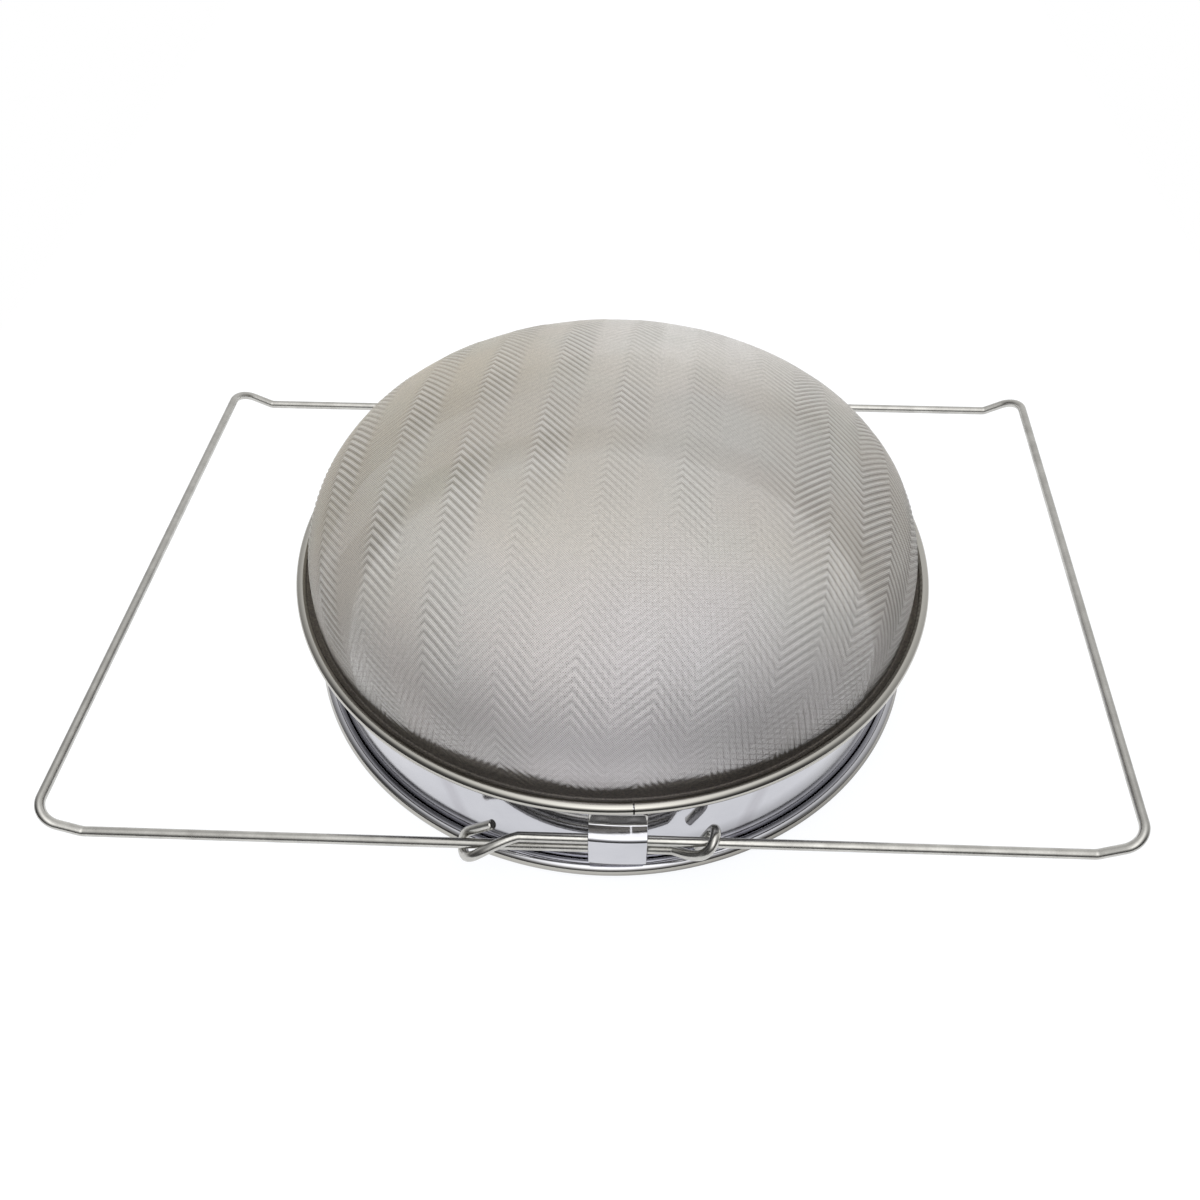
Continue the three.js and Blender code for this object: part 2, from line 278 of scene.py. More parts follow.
def wire_steel():
    """Drawn wire: satin, slightly warm, with draw lines and darker scuffs."""
    made, tree, shader = material("wire_steel")
    place = object_point(tree)
    scuffs = noise(tree, place, 140.0, 4.0, 0.6)
    grain = noise(tree, place, 1500.0, 3.0, 0.6)
    tone = mixed(tree, spread(tree, scuffs, 0.35, 0.75), *WIRE_TONES)
    tone = mixed(tree, spread(tree, grain, 0.5, 0.8, 0.0, 0.25), tone, grey(0.3))
    tree.links.new(tone, shader.inputs["Base Color"])
    dull = plus(tree, spread(tree, scuffs, 0.3, 0.8, 0.16, 0.26), spread(tree, grain, 0.3, 0.8, 0.0, 0.08))
    tree.links.new(dull, shader.inputs["Roughness"])
    bump = node(tree, "ShaderNodeBump", {"Height": grain, "Strength": 0.1, "Distance": 0.0001})
    tree.links.new(bump.outputs[0], shader.inputs["Normal"])
    shader.inputs["Metallic"].default_value = 1.0
    return made


CLOTH_TONES = (0.76, 0.72, 0.66, 1), (0.755, 0.72, 0.71, 1)
CLOTH_FRONT = (0.745, 0.705, 0.735, 1)  # slightly lilac
# painted shade on the left, on the right and at the top of the dome, and painted light at the back
CLOTH_LEFT_SHADE = (0.66, 0.6, 0.49, 1)  # browner
CLOTH_RIGHT_SHADE = (0.62, 0.575, 0.52, 1)
CLOTH_TOP_SHADE = (0.4, 0.38, 0.34, 1)
CLOTH_FAR_LIGHT = (1.0, 0.98, 0.94, 1)
CLOTH_GREENISH = (0.66, 0.72, 0.67, 1)
CLOTH_SPECKS = (0.45, 0.43, 0.41, 1)
# painted shade on the bands where the ribs stand high
CLOTH_RIBBED_SHADE = (0.42, 0.4, 0.36, 1)
CLOTH_PORES = (0.25, 0.24, 0.23, 1)
# painted shade in the valleys between the ribs and painted highlight on their crests
RIB_VALLEY_SHADE = (0.2, 0.185, 0.165, 1)
RIB_CREST_HIGHLIGHT = (0.95, 0.94, 0.92, 1)
CLOTH_SHADED = (0.2, 0.19, 0.17, 1)
# painted light on the foot of the dome in front
CLOTH_FRONT_FOOT_LIGHT = (0.98, 0.94, 0.96, 1)
# painted shade, dark brown, at the steep foot of the dome
FOOT_SHADE_TONES = (0.06, 0.05, 0.042, 1), (0.16, 0.14, 0.11, 1)


def fine_mesh():
    """Fine twill: pale wires with open pores between them, with painted shade and light over the dome, and
    browner painted shade and denser cloth where the side stands up.
    """
    made, tree, shader = material("fine_mesh")
    place = object_point(tree)
    cloth = attribute(tree, "cloth", "Vector")
    rib = attribute(tree, "rib")
    u, v, low = node(tree, "ShaderNodeSeparateXYZ", {0: cloth}).outputs
    pitch = RIB_PITCH * math.sqrt(2) / 4

    def wave(along):
        return maths(tree, "SINE", times(tree, along, 2 * math.pi / pitch))

    pores = spread(tree, times(tree, wave(u), wave(v)), 0.05, 0.75)
    mottle = noise(tree, cloth, 1.1, 4.0, 0.75)
    clouds = noise(tree, place, 14.0, 2.0, 0.5)
    tint = noise(tree, place, 26.0, 2.0, 0.5)
    x, y, z = node(tree, "ShaderNodeSeparateXYZ", {0: place}).outputs

    # broad tones of the whole dome: random clouds, a lilac front, painted shade on the left, on the right and
    # across the top, and painted light at the back
    tone = mixed(tree, spread(tree, clouds, 0.35, 0.65), *CLOTH_TONES)
    tone = mixed(tree, spread(tree, y, -0.05, -0.1, 0.0, 0.7), tone, CLOTH_FRONT)
    left = times(tree, spread(tree, x, 0.01, -0.06), spread(tree, y, -0.05, -0.025, 0.3, 0.9))
    tone = mixed(tree, left, tone, CLOTH_LEFT_SHADE)
    right = times(tree, spread(tree, x, 0.03, 0.08, 0.0, 0.5), spread(tree, y, -0.06, -0.04))
    tone = mixed(tree, right, tone, CLOTH_RIGHT_SHADE)
    top = times(tree, spread(tree, y, -0.055, -0.02, 0.0, 0.2), spread(tree, y, 0.02, 0.045, 1.0, 0.0))
    tone = mixed(tree, top, tone, CLOTH_TOP_SHADE)
    far = times(tree, spread(tree, y, 0.02, 0.06, 0.0, 0.6), spread(tree, x, -0.03, 0.015))
    tone = mixed(tree, far, tone, CLOTH_FAR_LIGHT)

    # specks, herringbone bands with painted shade, pores, and ribs with painted shade in their valleys and
    # painted highlights on their crests
    tone = mixed(tree, spread(tree, tint, 0.45, 0.7, 0.0, 0.22), tone, CLOTH_GREENISH)
    tone = mixed(tree, spread(tree, mottle, 0.4, 0.7, 0.0, 0.45), tone, CLOTH_SPECKS)
    # painted shade: darker where the ribs stand high
    tone = mixed(tree, spread(tree, attribute(tree, "band"), 0.2, 0.9, 0.0, 0.2), tone, CLOTH_RIBBED_SHADE)
    tone = mixed(tree, times(tree, pores, 0.3), tone, CLOTH_PORES)
    # painted shade in the rib valleys and painted highlight on the crests
    tone = mixed(tree, spread(tree, rib, -1.0, 0.2, 0.42, 0.0), tone, RIB_VALLEY_SHADE)
    tone = mixed(tree, spread(tree, rib, 0.3, 1.0, 0.0, 0.35), tone, RIB_CREST_HIGHLIGHT)

    # the foot of the dome: painted shade darker to both sides, painted light in front, and brown painted
    # shade where the cloth stands steep
    beside = spread(tree, maths(tree, "ABSOLUTE", x), 0.012, 0.045)
    shaded = times(tree, spread(tree, z, 0.062, 0.075, 1.0, 0.0), spread(tree, x, -0.05, 0.05, 0.28, 0.5))
    tone = mixed(tree, times(tree, shaded, beside), tone, CLOTH_SHADED)
    # painted light: lighter low down at the front centre
    front_foot_light = times(tree, spread(tree, z, 0.070, 0.080, 0.45, 0.0), one_minus(tree, beside))
    tone = mixed(tree, front_foot_light, tone, CLOTH_FRONT_FOOT_LIGHT)
    edge = plus(tree, plus(tree, low, times(tree, mottle, 2.6)), times(tree, rib, 1.3))
    # painted shade at the steep foot of the dome
    foot_shade = spread(tree, edge, -0.9, 1.3, 1.0, 0.0)
    foot_shade_tone = mixed(tree, spread(tree, mottle, 0.42, 0.6), *FOOT_SHADE_TONES)
    tone = mixed(tree, times(tree, foot_shade, 0.88), tone, foot_shade_tone)
    tree.links.new(tone, shader.inputs["Base Color"])

    shader.inputs["Metallic"].default_value = 0.5
    tree.links.new(spread(tree, mottle, 0.3, 0.7, 0.42, 0.56), shader.inputs["Roughness"])
    clear = maths(tree, "SUBTRACT", 0.8, times(tree, pores, 0.6))
    # the cloth is also denser under the painted shade at the foot
    clear = maths(tree, "MAXIMUM", clear, times(tree, foot_shade, 0.93))
    tree.links.new(clear, shader.inputs["Alpha"])
    relief = maths(tree, "SUBTRACT", mottle, times(tree, pores, 0.8))
    bump = node(tree, "ShaderNodeBump", {"Height": relief, "Strength": 0.4, "Distance": 0.00015})
    tree.links.new(bump.outputs[0], shader.inputs["Normal"])
    return made


def coarse_mesh():
    """Plain woven wire of the coarse screen: dull, with darker scuffs."""
    made, tree, shader = material("coarse_mesh")
    place = object_point(tree)
    scuffs = noise(tree, place, 90.0, 3.0, 0.6)
    tone = mixed(tree, spread(tree, scuffs, 0.35, 0.7), *COARSE_TONES)
    tree.links.new(tone, shader.inputs["Base Color"])
    tree.links.new(spread(tree, scuffs, 0.3, 0.7, 0.22, 0.38), shader.inputs["Roughness"])
    shader.inputs["Metallic"].default_value = 1.0
    return made


# ---------------------------------------------------------------- meshes
def grid_faces(rows, columns, close_rows=False, close_columns=False, first=0):
    """Quads of a grid of points numbered row by row, optionally joined up at its ends."""
    i, j = np.meshgrid(
        np.arange(rows if close_rows else rows - 1),
        np.arange(columns if close_columns else columns - 1),
        indexing="ij",
    )
    i, j = i.ravel(), j.ravel()
    i2, j2 = (i + 1) % rows, (j + 1) % columns
    return first + np.stack([i * columns + j, i2 * columns + j, i2 * columns + j2, i * columns + j2], 1)


def mesh_piece(name, points, faces, finish, node_name, body, sharp=SHARP_ANGLE, attributes=None):
    """A shown piece from points in millimetres, which stands for a CAD node."""
    mesh = bpy.data.meshes.new(name)
    mesh.from_pydata((np.asarray(points) * MM).tolist(), [], [list(map(int, f)) for f in faces])
    mesh.validate()
    for key, values in (attributes or {}).items():
        kind = "FLOAT" if values.ndim == 1 else "FLOAT_VECTOR"
        layer = mesh.attributes.new(key, kind, "POINT")
        layer.data.foreach_set("value" if values.ndim == 1 else "vector", values.astype(np.float32).ravel())
    mesh.materials.append(finish)
    mesh.polygons.foreach_set("use_smooth", [True] * len(mesh.polygons))
    if sharp:
        mesh.set_sharp_from_angle(angle=sharp)
    piece = bpy.data.objects.new(name, mesh)
    bpy.context.scene.collection.objects.link(piece)
    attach(piece, body)
    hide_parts(node_name)


def ramp(value, start, length):
    """0 up to start, then rising to 1 over this length."""
    return np.clip((value - start) / length, 0, 1)


def arc(cx, cy, radius, from_deg, to_deg, steps):
    angles = np.radians(np.linspace(from_deg, to_deg, steps + 1))
    return np.stack([cx + radius * np.cos(angles), cy + radius * np.sin(angles)], 1)


def rounded(corners, radii, step_deg):
    """Rounds the inner corners of a run of points, in a plane or in space."""
    corners = [np.asarray(c, float) for c in corners]
    path = [corners[0]]
    for before, here, after, radius in zip(corners, corners[1:], corners[2:], radii):
        into = (here - before) / np.linalg.norm(here - before)
        out = (after - here) / np.linalg.norm(after - here)
        bend = math.acos(max(-1.0, min(1.0, float(into @ out))))
        start = here - into * radius * math.tan(bend / 2)
        inward = out - into * math.cos(bend)
        inward /= np.linalg.norm(inward)
        steps = max(2, math.ceil(math.degrees(bend) / step_deg))
        for angle in np.linspace(0, bend, steps + 1):
            path.append(start + into * radius * math.sin(angle) + inward * radius * (1 - math.cos(angle)))
    path.append(corners[-1])
    return np.array(path)


def sheet_outline(middle, thickness):
    """The closed outline of sheet that follows a middle line, with softened cut edges."""
    middle = np.asarray(middle, float)
    steps = np.diff(middle, axis=0)
    steps /= np.linalg.norm(steps, axis=1)[:, None]
    along = np.vstack([steps[:1], steps[:-1] + steps[1:], steps[-1:]])
    along /= np.linalg.norm(along, axis=1)[:, None]
    normal = np.stack([-along[:, 1], along[:, 0]], 1)
    stretch = 1 / np.einsum("ij,ij->i", along, np.vstack([steps[:1], steps]))
    offset = normal * (stretch * thickness / 2)[:, None]
    first, second = middle + offset, middle - offset
    soft = thickness * 0.3
    for side in (first, second):
        side[0] += along[0] * soft
        side[-1] -= along[-1] * soft
    end = [middle[-1] + normal[-1] * soft, middle[-1] - normal[-1] * soft]
    start = [middle[0] - normal[0] * soft, middle[0] + normal[0] * soft]
    return np.vstack([first, end, second[::-1], start])


def turned(outline, ripple=None, from_deg=0.0, span_deg=360.0):
    """Points and faces of an outline turned about Z; ripple moves a radius in and out round the turn."""
    outline = np.asarray(outline)
    whole = span_deg >= 360
    turn = np.radians(from_deg + np.linspace(0, span_deg, TURN_STEPS, endpoint=not whole))
    radius = np.repeat(outline[None, :, 0], TURN_STEPS, 0)
    height = np.repeat(outline[None, :, 1], TURN_STEPS, 0)
    if ripple:
        radius = radius + ripple(turn[:, None], height)
    points = np.stack([radius * np.cos(turn)[:, None], radius * np.sin(turn)[:, None], height], 2)
    faces = grid_faces(TURN_STEPS, len(outline), close_rows=whole, close_columns=True).tolist()
    area = np.sum(outline[:, 0] * np.roll(outline[:, 1], -1) - np.roll(outline[:, 0], -1) * outline[:, 1])
    if area > 0:
        faces = [f[::-1] for f in faces]
    if not whole:
        last = (TURN_STEPS - 1) * len(outline)
        ends = [list(range(len(outline))), list(range(last, last + len(outline)))[::-1]]
        faces += ends if area < 0 else [e[::-1] for e in ends]
    return points.reshape(-1, 3), faces


def swept(path, radius, sides, soft_end):
    """Points and faces of a round wire along a path, with slightly softened cut ends."""
    path = np.asarray(path, float)
    steps = np.diff(path, axis=0)
    steps /= np.linalg.norm(steps, axis=1)[:, None]
    along = np.vstack([steps[:1], steps[:-1] + steps[1:], steps[-1:]])
    along /= np.linalg.norm(along, axis=1)[:, None]
    across = np.cross(along[0], (0.0, 0.0, 1.0))
    across /= np.linalg.norm(across)
    turn = 2 * math.pi * np.arange(sides) / sides
    rings = []

    def ring(centre, size, tangent):
        other = np.cross(tangent, across)
        return centre + size * (np.cos(turn)[:, None] * across + np.sin(turn)[:, None] * other)

    for i, (centre, tangent) in enumerate(zip(path, along)):
        across = across - tangent * (across @ tangent)
        across /= np.linalg.norm(across)
        if i == 0:
            rings.append(ring(centre, radius - soft_end, tangent))
            rings.append(ring(centre + tangent * soft_end, radius, tangent))
        elif i == len(path) - 1:
            rings.append(ring(centre - tangent * soft_end, radius, tangent))
            rings.append(ring(centre, radius - soft_end, tangent))
        else:
            rings.append(ring(centre, radius, tangent))
    points = np.vstack(rings)
    faces = grid_faces(len(rings), sides, close_columns=True).tolist()
    faces.append(list(range(sides)))
    faces.append(list(range(len(points) - sides, len(points)))[::-1])
    return points, [f[::-1] for f in faces]


# ---------------------------------------------------------------- coarse sieve
def coarse_band(finish):
    """A short upright wall with a flange at its foot and a lip at its top."""
    wall = COARSE_WALL_R - SHEET / 2
    low, high = SHEET / 2, band_high.z - SHEET / 2
    corners = [(band_high.x, low), (wall, low), (wall, high), (COARSE_WALL_R - COARSE_BAND_LIP, high)]
    points, faces = turned(sheet_outline(rounded(corners, [0.8, 0.8], 12), SHEET))
    mesh_piece("coarse_band_formed", points, faces, finish, "coarse_band", "coarse_sieve")


def coarse_hoop(finish):
    """The flat hoop that holds the coarse screen's edge."""
    inner, outer = hoop_high.x - COARSE_HOOP_WIDTH, hoop_high.x
    corners = [(inner, hoop_low.z), (outer, hoop_low.z), (outer, hoop_high.z), (inner, hoop_high.z)]
    outline = []
    soft = COARSE_HOOP_SOFT
    for (x, y), start in zip(corners, (180, 270, 0, 90)):
        centre = (x + soft * (1 if x == inner else -1), y + soft * (1 if y == hoop_low.z else -1))
        outline += arc(*centre, soft, start, start + 90, 3).tolist()
    points, faces = turned(outline)
    mesh_piece(
        "coarse_hoop_pressed", points, faces, finish, "coarse_screen_hoop", "coarse_sieve"
    )


def coarse_weave(finish):
    """Plain woven wire cloth: each wire passes over and under the ones that it crosses."""
    middle_z = (tray_low.z + tray_high.z) / 2
    reach = tray_high.x - 2 * COARSE_WIRE_R
    count = int(reach / COARSE_PITCH)
    turn = 2 * math.pi * np.arange(COARSE_SIDES) / COARSE_SIDES
    points, faces, total = [], [], 0
    for lengthwise in (True, False):
        for i in range(-count, count + 1):
            offset = i * COARSE_PITCH
            half = math.sqrt(reach**2 - offset**2)
            crossings = np.arange(-int(half / COARSE_PITCH), int(half / COARSE_PITCH) + 1)
            along = np.concatenate([[-half], crossings * COARSE_PITCH, [half]])
            over = np.where((crossings + i) % 2 == 0, 1.0, -1.0) * (1 if lengthwise else -1)
            rise = COARSE_WIRE_R * np.concatenate([[0], over, [0]])
            across = offset + COARSE_WIRE_R * np.cos(turn)[None, :] + 0 * along[:, None]
            height = middle_z + rise[:, None] + COARSE_WIRE_R * np.sin(turn)[None, :]
            run = np.repeat(along[:, None], COARSE_SIDES, 1)
            order = (run, across, height) if lengthwise else (across, run, height)
            points.append(np.stack(order, 2).reshape(-1, 3))
            quads = grid_faces(len(along), COARSE_SIDES, close_columns=True, first=total).tolist()
            quads.append(list(range(total, total + COARSE_SIDES)))
            total += len(along) * COARSE_SIDES
            quads.append(list(range(total - COARSE_SIDES, total))[::-1])
            faces += quads if not lengthwise else [q[::-1] for q in quads]
    mesh_piece(
        "coarse_weave", np.vstack(points), faces, finish, "coarse_screen", "coarse_sieve",
        sharp=math.radians(75),
    )


# ---------------------------------------------------------------- fine sieve
def fine_wall(finish):
    """The upright wall, with a rolled bead at its mouth and a flare under the ring."""
    bead = arc(WALL_R + BEAD_ROLL, BEAD_Z, BEAD_ROLL, BEAD_END, -180, 40)
    upright = [(WALL_R, BEAD_Z + BEAD_ROLL / 2), (WALL_R, FLARE_START_Z), FLARE_TOP]
    flare = rounded(upright, [FLARE_BEND_R], 6)
    rows = [(WALL_R, z) for z in np.linspace(BEAD_Z + BEAD_ROLL / 2, flare[1][1], 8)[1:-1]]
    outline = sheet_outline(np.vstack([bead, flare[:1], rows, flare[1:]]), SHEET)

    def dents(turn, height):
        """The thin wall isn't quite true: shallow waves between its two stiff edges."""
        held = ramp(height, 7, 12) * ramp(-height, -41, 10)
        waves = np.sin(3 * turn + 0.4) + 0.6 * np.sin(7 * turn + 1.9) + 0.4 * np.sin(13 * turn + height / 9)
        return 0.05 * held * waves

    points, faces = turned(outline, dents)
    radius = np.hypot(points[:, 0], points[:, 1])
    rolled = ramp(radius, WALL_R + 0.6, 1) * ramp(-points[:, 2], -6, 1)  # 1 on the bead
    # the bead is a little darker all round, and painted shade darkens it more and more towards the right
    darkened_bead = rolled * (0.08 + 0.5 * ramp(points[:, 0], 0, 70))
    mesh_piece(
        "fine_wall_rolled", points, faces, finish, "fine_wall", "fine_sieve",
        attributes={"tarnish_and_painted_shade": darkened_bead, "warm": rolled},
    )


def crimp_ring(finish):
    """A C-section ring bent round, with its two cut ends facing each other."""
    section = arc(RING_R, RING_Z, RING_SECTION, *RING_OPEN, 30)
    half_gap = math.degrees(RING_JOINT_GAP / 2 / RING_R)
    from_deg = RING_JOINT_ANGLE + half_gap
    points, faces = turned(sheet_outline(section, SHEET), None, from_deg, 360 - 2 * half_gap)
    # painted shade: the ring is darker underneath
    painted_underside_shade = ramp(-points[:, 2], -RING_Z, 0.9)
    mesh_piece(
        "crimp_ring_formed", points, faces, finish, "crimp_ring", "fine_sieve",
        attributes={"warm": np.ones(len(points)), "tarnish_and_painted_shade": 0.75 * painted_underside_shade},
    )


def dome_section():
    """Radius and height of the dome against the distance from its crown along the surface."""
    angle = np.linspace(math.pi / 2, 0, 4000)
    radius = DOME_BASE_R * np.cos(angle) ** (2 / DOME_POWER)
    height = DOME_BASE_Z + DOME_HEIGHT * np.sin(angle) ** (2 / DOME_POWER)
    radius[0] = 0.0
    run = np.concatenate([[0], np.cumsum(np.hypot(np.diff(radius), np.diff(height)))])
    return run, radius, height


def rib_strength(flat, radius, bearing):
    """How far the ribs stand up: most where they point away from the pull, and least near the crown."""
    x, y = radius * np.cos(bearing), radius * np.sin(bearing)
    pull = np.arctan2(y - DRAWN_FROM[1], x - DRAWN_FROM[0]) - math.radians(CLOTH_TURN)
    slant = np.where(np.floor(flat[:, 0] / BAND) % 2 == 0, -1, 1)  # the zigzag's direction in this band
    along = np.abs(np.cos(pull - np.arctan2(slant, 1)))
    picked = ramp(along**2, 0.5, 0.25)
    picked = np.maximum(picked, ramp(x, 45, 25))
    picked = np.maximum(picked, RIB_LEAST_BEHIND * ramp(y, -25, 30))
    across_bands, along_bands = flat[:, 0] / RIB_PATCHES[0], flat[:, 1] / RIB_PATCHES[1]
    patches = 0.5 + 0.5 * np.sin(across_bands + 0.7) * np.sin(along_bands + 2.1)
    smoothed = ramp(-y, 12 + 42 * ramp(np.abs(x), 18, 25), 30)
    drawn = ramp(radius, -14, 36)
    picked = picked * (1 - 0.8 * smoothed) + ramp(-y, 62, 25) * (0.07 + 0.32 * patches)
    number = np.floor((flat[:, 1] - slant * flat[:, 0]) / (RIB_PITCH * math.sqrt(2)))
    uneven = 1 + RIB_UNEVEN * np.sin(12.9 * number + 7.1 * np.floor(flat[:, 0] / BAND))
    return RIB_LEAST + (1 - RIB_LEAST) * picked * drawn * uneven


def fine_screen(finish):
    """The deep-drawn twill: a grid that follows the ribs, laid over the dome and closed by the hem."""
    run, radius_at, height_at = dome_section()
    reach = run[-1]
    rib_run = RIB_PITCH * math.sqrt(2)
    du, dt = BAND / 4, rib_run / 6
    columns = np.arange(-math.ceil(reach / du) - 1, math.ceil(reach / du) + 2)
    rows = np.arange(-math.ceil((reach + BAND) / dt), math.ceil((reach + BAND) / dt) + 1)
    u = np.repeat((columns * du)[:, None], len(rows), 1)
    t = np.repeat((rows * dt)[None, :], len(columns), 0)
    zigzag = np.abs((u / BAND) % 2 - 1) * BAND - BAND / 2
    flat = np.stack([u, t + zigzag], 2).reshape(-1, 2)
    wave = (1 - 2 * (0.5 - 0.5 * np.cos(2 * math.pi * t / rib_run)) ** 1.8).ravel()

    distance = np.linalg.norm(flat, axis=1)
    near = np.abs(distance - reach) < 0.35 * dt
    flat[near] *= (reach / distance[near])[:, None]
    distance[near] = reach
    inside = distance <= reach + 1e-9
    quads = grid_faces(len(columns), len(rows))
    held = inside[quads].sum(1)
    faces = quads[held == 4].tolist()
    flat, wave = list(flat), list(wave)
    cuts = {}

    def cut(a, b):
        """The point where the edge from a to b crosses the edge of the cloth."""
        key = (min(a, b), max(a, b))
        if key not in cuts:
            share = (reach - distance[a]) / (distance[b] - distance[a])
            crossing = flat[a] + (flat[b] - flat[a]) * share
            flat.append(crossing * reach / np.linalg.norm(crossing))
            wave.append(wave[a] + (wave[b] - wave[a]) * share)
            cuts[key] = len(flat) - 1
        return cuts[key]

    for quad in quads[(held > 0) & (held < 4)]:
        kept = []
        for a, b in zip(quad, np.roll(quad, -1)):
            if inside[a]:
                kept.append(int(a))
            inner, outer = (a, b) if inside[a] else (b, a)
            if inside[a] != inside[b] and not near[inner]:
                kept.append(cut(inner, outer))
        if len(kept) > 2:
            faces.append(kept)

    used = np.unique(np.concatenate([np.asarray(f) for f in faces]))
    number = np.full(len(flat), -1)
    number[used] = np.arange(len(used))
    flat, wave = np.array(flat)[used], np.array(wave)[used]
    faces = [[int(number[k]) for k in f] for f in faces]

    distance = np.minimum(np.linalg.norm(flat, axis=1), reach)
    bearing = np.arctan2(flat[:, 1], flat[:, 0]) + math.radians(CLOTH_TURN)
    radius, height = np.interp(distance, run, radius_at), np.interp(distance, run, height_at)
    slope_r = np.gradient(radius_at, run)
    slope_z = np.gradient(height_at, run)
    lean = np.arctan2(-np.interp(distance, run, slope_z), np.interp(distance, run, slope_r))
    fade = np.clip((reach - distance) / 4, 0, 1)
    strength = rib_strength(flat, radius, bearing)
    rib = wave * fade * strength

    def place(offset):
        r = radius + offset * np.sin(lean)
        z = height + offset * np.cos(lean)
        return np.stack([r * np.cos(bearing), r * np.sin(bearing), z], 1)

    relief = RIB_HEIGHT * rib
    edge = np.flatnonzero(distance > reach - 1e-6)
    edge = edge[np.argsort(bearing[edge])]
    hem = np.array(HEM)
    steps = np.diff(np.vstack([[(DOME_BASE_R, DOME_BASE_Z)], hem]), axis=0)
    lengths = np.cumsum(np.linalg.norm(steps, axis=1))
    leaving = np.vstack([steps[1:] + steps[:-1], steps[-1:]])
    leaving /= np.linalg.norm(leaving, axis=1)[:, None]
    outward = np.stack([-leaving[:, 1], leaving[:, 0]], 1)

    def hem_rings(offset):
        rings = []
        for (r, z), (nr, nz) in zip(hem, outward):
            rr, zz = r + nr * offset, z + nz * offset
            rings.append(np.stack([rr * np.cos(bearing[edge]), rr * np.sin(bearing[edge]), zz + 0 * edge], 1))
        return np.vstack(rings)

    surface, count, ring = len(flat), len(edge), len(hem)
    half = CLOTH / 2
    points = np.vstack([place(relief + half), hem_rings(half), place(relief - half), hem_rings(-half)])
    side = surface + ring * count

    def strip(first, second):
        return [[first[k], first[(k + 1) % count], second[(k + 1) % count], second[k]] for k in range(count)]

    everything = []
    for base, flip in ((0, False), (side, True)):
        loops = [[base + int(e) for e in edge]]
        loops += [[base + surface + m * count + k for k in range(count)] for m in range(ring)]
        body = [[base + k for k in f] for f in faces]
        for first, second in zip(loops, loops[1:]):
            body += [q[::-1] for q in strip(first, second)]
        everything += [f[::-1] for f in body] if flip else body
        last = loops[-1]
        if flip:
            everything += [q[::-1] for q in strip(outer_last, last)]
        outer_last = last

    def cloth_values():
        hem_flat = [flat[edge] * (reach + length) / reach for length in lengths]
        whole = np.vstack([flat, *hem_flat])
        turn = np.arctan2(whole[:, 1], whole[:, 0])
        tall = np.concatenate([height, np.repeat(hem[:, 1], count)])
        # how high the painted shade at the foot of the dome reaches, round the dome
        foot_shade_top = FOOT_SHADE_SIDE + (FOOT_SHADE_END - FOOT_SHADE_SIDE) * np.abs(np.sin(turn)) ** 4
        from_dip = (turn + math.radians(CLOTH_TURN) + FOOT_SHADE_DIP_TURN) / FOOT_SHADE_DIP_WIDTH
        foot_shade_top = foot_shade_top - FOOT_SHADE_DIP * np.exp(-(from_dip**2))
        return np.stack([whole[:, 0], whole[:, 1], tall - foot_shade_top], 1)

    cloth = cloth_values()
    rib_all = np.concatenate([rib, np.zeros(ring * count)])
    band_all = np.concatenate([strength, np.zeros(ring * count)])
    mesh_piece(
        "fine_twill_dome", points, everything, finish, "fine_screen", "fine_sieve", sharp=None,
        attributes={
            "cloth": np.vstack([cloth, cloth]),
            "rib": np.concatenate([rib_all, rib_all]),
            "band": np.concatenate([band_all, band_all]),
        },
    )


